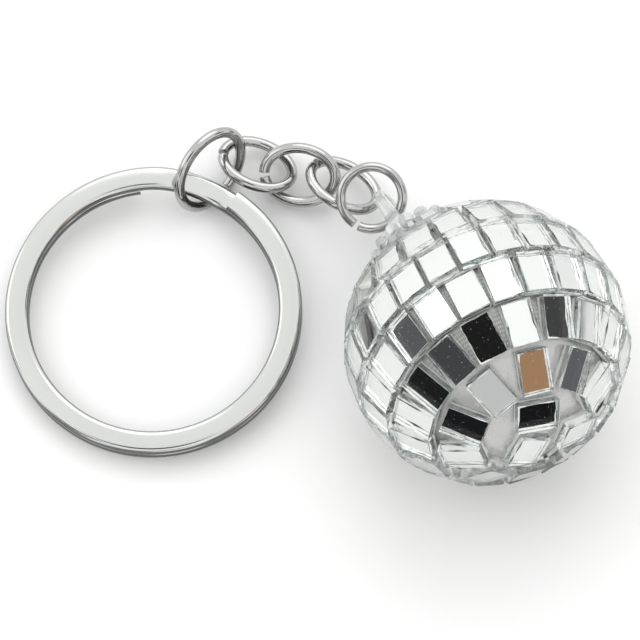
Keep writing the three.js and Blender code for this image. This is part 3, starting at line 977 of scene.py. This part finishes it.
class KEYRING_OT_cap(bpy.types.Operator):
    """Moulded cap: stem, two tiers of beads and the eye, flowing into each other"""

    bl_idname = "keyring.cap"
    bl_label = "Ornament cap"

    def execute(self, context):
        given, ball = context.scene.keyring_cap, Ball()
        plastic = moulded_clear()
        crown = math.hypot(ball.reach, ball.tile_width / 2, ball.tile_height / 2) + given.lift
        upper = crown + given.crown_height - given.upper_sink
        eye_sink = 0.3 * MM
        eye = upper + given.upper_height - eye_sink
        tree = bead_tree(plastic)
        parts = []
        for label, tier, base in (("lower", "crown", crown), ("upper", "upper", upper)):
            count, ring, bead, height = (
                getattr(given, f"{tier}_{size}") for size in ("beads", "radius", "bead", "height")
            )
            peg = bpy.data.objects.new("peg", lathe(bead_profile(bead, height), 20))
            values = {"Bead": peg, "Beads": count, "Ring radius": ring, "Base": base}
            parts.append(grown(label + "_beads", tree, values))
        margin, drop = 0.35 * MM, 0.8 * MM
        disc = [
            (0.0, crown),
            (given.crown_radius + margin, crown),
            (given.crown_radius + margin, crown + given.crown_height - drop),
            (given.upper_radius + margin, upper + given.upper_sink / 2),
            (given.upper_radius + margin, upper + given.upper_height - drop),
            (given.upper_radius - given.upper_bead, eye + eye_sink),
            (0.0, eye + eye_sink),
        ]
        foot_inset, foot_height = 0.2 * MM, 0.3 * MM
        stem = [
            (0.0, given.stem_foot),
            (given.stem_radius - foot_inset, given.stem_foot),
            (given.stem_radius, given.stem_foot + foot_height),
            (given.stem_radius, crown + given.lift),
            (0.0, crown + given.lift),
        ]
        parts.append(as_object("disc", lathe(disc, 64)))
        parts.append(as_object("stem", lathe(stem, 40)))
        parts.append(eye_plate(given, eye))
        piece = joined(parts, "moulded_cap")
        remesh = piece.modifiers.new("mould", "REMESH")
        remesh.mode, remesh.voxel_size = "VOXEL", given.grain
        smooth = piece.modifiers.new("fillets", "SMOOTH")
        smooth.factor, smooth.iterations = 0.5, 4
        piece = plain(piece)
        surface = Surface("ornament_cap")
        points = surface.corners.reshape(-1, 3) - ball.centre
        points = points[points @ ball.cap_axis > eye + given.eye_length / 2]
        points = points - np.outer(points @ ball.cap_axis, ball.cap_axis)
        broad = np.linalg.svd(points)[2][1]
        piece.data.transform(frame_matrix(ball.centre, ball.cap_axis, broad))
        piece.data.materials.clear()
        piece.data.materials.append(plastic)
        shade(piece, 60)
        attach(piece, "ball_body")
        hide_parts("ornament_cap")
        return {"FINISHED"}


# Chain
class KEYRING_PG_chain(bpy.types.PropertyGroup):
    cut_gap: in_mm("Cut gap", "Between the two cut ends of a link", 0.45)
    slack: in_mm("Slack", "Taken off the wire so that links run free", 0.06)
    burr: in_mm("Burr", "Rounding of the cut ends", 0.07)
    steps: IntProperty(name="Steps", description="Segments along a link", default=112)
    sides: IntProperty(name="Sides", description="Segments round the wire", default=24)


def wire_tree(material):
    """A round wire bent to an open oval."""
    group, tree, given = geometry_tree(
        "oval_wire",
        {
            "Half length": "Float",
            "Half width": "Float",
            "Wire radius": "Float",
            "Start": "Float",
            "Sweep": "Float",
            "Steps": "Int",
            "Sides": "Int",
        },
    )
    path = tree.node(
        "GeometryNodeCurveArc",
        {"mode": "RADIUS"},
        {
            "Resolution": given["Steps"],
            "Radius": 1.0,
            "Start Angle": given["Start"],
            "Sweep Angle": given["Sweep"],
        },
    )
    halves = {"X": given["Half length"], "Y": given["Half width"], "Z": 1.0}
    spread = tree.node("ShaderNodeCombineXYZ", {}, halves)
    path = tree.node("GeometryNodeTransform", {}, {"Geometry": path, "Scale": spread})
    section = tree.node(
        "GeometryNodeCurvePrimitiveCircle",
        {"mode": "RADIUS"},
        {"Resolution": given["Sides"], "Radius": given["Wire radius"]},
    )
    wire = tree.node(
        "GeometryNodeCurveToMesh", {}, {"Curve": path, "Profile Curve": section, "Fill Caps": True}
    )
    end_tree(tree, set_material(tree, realized(tree, wire), material))
    return group


def settle(piece, turn, node):
    """Turns a piece in its mesh, and brings the middle of its box to that of a CAD node."""
    piece.data.transform(turn.to_4x4())
    points = np.array([v.co for v in piece.data.vertices], float)
    low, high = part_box(node)
    shift = (low + high) / 2 - Vector((points.min(0) + points.max(0)) / 2)
    piece.data.transform(Matrix.Translation(shift))


class KEYRING_OT_chain(bpy.types.Operator):
    """Jump ring and four links of bright plated wire, each cut at one place"""

    bl_idname = "keyring.chain"
    bl_label = "Chain"

    def execute(self, context):
        given = context.scene.keyring_chain
        plate = bright_plate("wire_bright_plate", (0.36, 0.36, 0.355), (0.50, 0.50, 0.495), 0.03)
        tree = wire_tree(plate)
        for node, body, (yaw, pitch, roll), opening, wire, cut in CHAIN:
            length, width = ((size + wire) / 2 * MM for size in opening)
            at = math.radians(cut)
            speed = math.hypot(length * math.sin(at), width * math.cos(at))
            values = {
                "Half length": length,
                "Half width": width,
                "Wire radius": (wire * MM - given.slack) / 2,
                "Start": at + given.cut_gap / 2 / speed,
                "Sweep": 2 * math.pi - given.cut_gap / speed,
                "Steps": given.steps,
                "Sides": given.sides,
            }
            piece = grown(node + "_wire", tree, values, bevel=given.burr)
            angles = [math.radians(a) for a in (roll, pitch, yaw)]
            turn = Euler(angles, "XYZ").to_matrix()
            settle(piece, turn, node)
            shade(piece, 40)
            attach(piece, body)
            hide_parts(node)
        return {"FINISHED"}


# Split ring
class KEYRING_PG_ring(bpy.types.PropertyGroup):
    outer_radius: in_mm("Outer radius", "Outside of the split ring", 16)
    band_width: in_mm("Band width", "Across the flat band", 2.5)
    coil_thickness: in_mm("Coil thickness", "One turn of the band", 1.3)
    coil_gap: in_mm("Coil gap", "Between the two turns", 0.12)
    corner: in_mm("Corner", "Rounding of the band's edges", 0.55)
    top_end: in_degrees("Upper cut end", "Heading of the upper turn's end", 55)
    step_start: in_degrees("Step start", "Heading where the upper turn drops", 92)
    step_end: in_degrees("Step end", "Heading where it is the lower turn", 58)
    overlap: in_degrees("Overlap", "Lower turn's end past the drop", 5)
    steps: IntProperty(name="Steps", description="Segments along both turns", default=420)


def band_tree(material):
    """A flat band wound twice round, one turn over the other, joined by a step."""
    group, tree, given = geometry_tree(
        "split_band",
        {
            "Radius": "Float",
            "Level": "Float",
            "Top end": "Float",
            "Step start": "Float",
            "Step end": "Float",
            "Total": "Float",
            "Band width": "Float",
            "Thickness": "Float",
            "Corner": "Float",
            "Steps": "Int",
        },
    )
    line = tree.node("GeometryNodeCurvePrimitiveLine", {"mode": "POINTS"})
    line = tree.node("GeometryNodeResampleCurve", {}, {"Curve": line, "Count": given["Steps"]})
    along = tree.node("GeometryNodeSplineParameter") * given["Total"]
    drop = along.step(given["Step start"], given["Step end"])
    heading = given["Top end"] - along
    place = tree.node(
        "ShaderNodeCombineXYZ",
        {},
        {
            "X": given["Radius"] * heading.math("COSINE"),
            "Y": given["Radius"] * heading.math("SINE"),
            "Z": given["Level"] * (1 - 2 * drop),
        },
    )
    path = tree.node("GeometryNodeSetPosition", {}, {"Geometry": line, "Position": place})
    path = tree.node("GeometryNodeSetCurveNormal", {"mode": "Z_UP"}, {"Curve": path})
    section = tree.node(
        "GeometryNodeCurvePrimitiveQuadrilateral",
        {"mode": "RECTANGLE"},
        {"Width": given["Band width"], "Height": given["Thickness"]},
    )
    section = tree.node(
        "GeometryNodeFilletCurve",
        {"mode": "POLY"},
        {"Curve": section, "Count": 5, "Radius": given["Corner"]},
    )
    band = tree.node(
        "GeometryNodeCurveToMesh", {}, {"Curve": path, "Profile Curve": section, "Fill Caps": True}
    )
    end_tree(tree, set_material(tree, realized(tree, band), material))
    return group


def unwrap_band(mesh, outer):
    """UVs along the band and across it, for the marks of polishing and the painted shade on the
    band's edges.
    """
    points = np.array([v.co for v in mesh.vertices], float)
    turn = np.arctan2(points[:, 1], points[:, 0]) / (2 * math.pi)
    across = np.hypot(points[:, 0], points[:, 1]) / outer
    flat = mesh.uv_layers.new(name="UVMap")
    index = np.zeros(len(mesh.loops), np.int32)
    mesh.loops.foreach_get("vertex_index", index)
    corner = np.stack([turn[index], across[index]], axis=1)
    for face in mesh.polygons:
        loops = list(face.loop_indices)
        if corner[loops, 0].max() - corner[loops, 0].min() > 0.5:
            corner[loops, 0] += corner[loops, 0] < 0
    flat.data.foreach_set("uv", corner.astype(np.float32).ravel())


class KEYRING_OT_split_ring(bpy.types.Operator):
    """Flat split ring of two turns joined by a step"""

    bl_idname = "keyring.split_ring"
    bl_label = "Split ring"

    def execute(self, context):
        given = context.scene.keyring_ring
        full = 2 * math.pi
        tree = band_tree(polished_band())
        step_end = given.top_end + full - given.step_end
        values = {
            "Radius": given.outer_radius - given.band_width / 2,
            "Level": (given.coil_thickness + given.coil_gap) / 2,
            "Top end": given.top_end,
            "Step start": given.top_end + full - given.step_start,
            "Step end": step_end,
            "Total": step_end + full - (given.step_start + given.overlap - given.step_end),
            "Band width": given.band_width,
            "Thickness": given.coil_thickness,
            "Corner": given.corner,
            "Steps": given.steps,
        }
        piece = grown("split_ring_band", tree, values)
        unwrap_band(piece.data, given.outer_radius)
        top = next(m for m in frame["record"]["mounts"] if m["name"] == "ring_top_face")
        turn = Vector((0, 0, 1)).rotation_difference(Vector(top["axis"])).to_matrix()
        settle(piece, turn, "split_ring")
        shade(piece, 30)
        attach(piece, "split_ring_body")
        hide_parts("split_ring")
        return {"FINISHED"}


# Stage
class KEYRING_PG_stage(bpy.types.PropertyGroup):
    aim: FloatVectorProperty(
        name="Aim",
        description="From the ball's middle to the point that the camera looks at",
        default=(-17.345 * MM, 6.133 * MM, -11.78 * MM),
        subtype="TRANSLATION",
    )
    elevation: in_degrees("Elevation", "Of the camera over the table", 72.5)
    distance: in_mm("Distance", "From the camera to its aim", 400)
    lens: FloatProperty(name="Lens", description="Focal length in millimetres", default=209.25)
    surround: FloatProperty(
        name="Surround", description="Brightness of the white studio", default=1.4
    )
    floor_size: in_mm("Floor", "Side of the floor", 4000)


def studio_world(strength):
    """A white studio with the dark things in front of it that the mirrors show."""
    world = bpy.data.worlds.new("studio")
    world.use_nodes = True
    tree = Tree(world.node_tree)
    background = world.node_tree.nodes["Background"]
    towards = tree.node("ShaderNodeTexCoord", out="Generated")
    colour = tree.mix(tree.noise(towards, 2.2, 1), (0.80, 0.81, 0.81), (1.06, 1.06, 1.05))
    height = tree.part(towards, 2)
    colour = tree.mix(height.step(0.02, 0.16), (0.50, 0.50, 0.50), colour)
    for direction, half_angle, softness, shade_colour in STUDIO_PATCHES:
        near = tree.node(
            "ShaderNodeVectorMath",
            {"operation": "DOT_PRODUCT"},
            {0: towards, 1: tuple(Vector(direction).normalized())},
            out="Value",
        )
        edge = [math.cos(math.radians(half_angle + side * softness / 2)) for side in (1, -1)]
        colour = tree.mix(near.step(*edge), colour, shade_colour)
    world.node_tree.links.new(colour.output, background.inputs["Color"])
    background.inputs["Strength"].default_value = strength
    bpy.context.scene.world = world


def softbox(name, place, aim, size, power):
    light = bpy.data.lights.new(name, "AREA")
    light.shape, light.size, light.energy = "DISK", size, power
    made = as_object(name, light)
    made.location = place
    made.rotation_euler = (Vector(aim) - Vector(place)).to_track_quat("-Z", "Y").to_euler()


class KEYRING_OT_stage(bpy.types.Operator):
    """Pale floor, white studio, soft lights and the camera"""

    bl_idname = "keyring.stage"
    bl_label = "Stage"

    def execute(self, context):
        given = context.scene.keyring_stage
        half = given.floor_size / 2
        corners = [(-half, -half, 0), (half, -half, 0), (half, half, 0), (-half, half, 0)]
        mesh = bpy.data.meshes.new("floor")
        mesh.from_pydata([(x, y, -FLOOR_DROP) for x, y, _ in corners], [], [(0, 1, 2, 3)])
        floor = as_object("floor", mesh)
        floor.data.materials.append(studio_floor())
        studio_world(given.surround)
        softbox("softbox_back", (0.05, 0.75, 0.75), (0, 0, 0), 0.9, 2.2)
        softbox("softbox_left", (-0.85, 0.25, 0.6), (0, 0, 0), 0.7, 1.0)
        aim = Vector(Ball().centre) + Vector(given.aim)
        back = Vector((0, -math.cos(given.elevation), math.sin(given.elevation)))
        lens = bpy.data.cameras.new("camera")
        lens.lens, lens.sensor_width = given.lens, 36
        lens.clip_start, lens.clip_end = 0.01, 20
        camera = as_object("camera", lens)
        camera.location = aim + back * given.distance
        camera.rotation_euler = (-back).to_track_quat("-Z", "Y").to_euler()
        context.scene.camera = camera
        context.scene.view_settings.view_transform = "Standard"
        return {"FINISHED"}


# Panel and start
SETTINGS = {
    "keyring_ball": KEYRING_PG_ball,
    "keyring_cap": KEYRING_PG_cap,
    "keyring_chain": KEYRING_PG_chain,
    "keyring_ring": KEYRING_PG_ring,
    "keyring_stage": KEYRING_PG_stage,
}
STEPS = (
    KEYRING_OT_mirror_tiles,
    KEYRING_OT_woven_strips,
    KEYRING_OT_core,
    KEYRING_OT_cap,
    KEYRING_OT_chain,
    KEYRING_OT_split_ring,
    KEYRING_OT_stage,
)


class KEYRING_PT_panel(bpy.types.Panel):
    """Lists the pieces and their sizes"""

    bl_idname = "KEYRING_PT_panel"
    bl_label = "Key ring"
    bl_space_type = "VIEW_3D"
    bl_region_type = "UI"
    bl_category = "Key ring"

    def draw(self, context):
        for step in STEPS:
            self.layout.operator(step.bl_idname)
        for name, group in SETTINGS.items():
            column = self.layout.column(align=True)
            for key in group.__annotations__:
                column.prop(getattr(context.scene, name), key)


def register():
    for group in (*SETTINGS.values(), *STEPS, KEYRING_PT_panel):
        bpy.utils.register_class(group)
    for name, group in SETTINGS.items():
        setattr(bpy.types.Scene, name, PointerProperty(type=group))


def unregister():
    for name in SETTINGS:
        delattr(bpy.types.Scene, name)
    for group in (KEYRING_PT_panel, *reversed(STEPS), *SETTINGS.values()):
        bpy.utils.unregister_class(group)


def main():
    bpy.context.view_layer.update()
    register()
    for step in STEPS:
        section, name = step.bl_idname.split(".")
        if "FINISHED" not in getattr(getattr(bpy.ops, section), name)():
            raise RuntimeError(f"{step.bl_label} didn't finish")


if __name__ == "__main__":
    main()
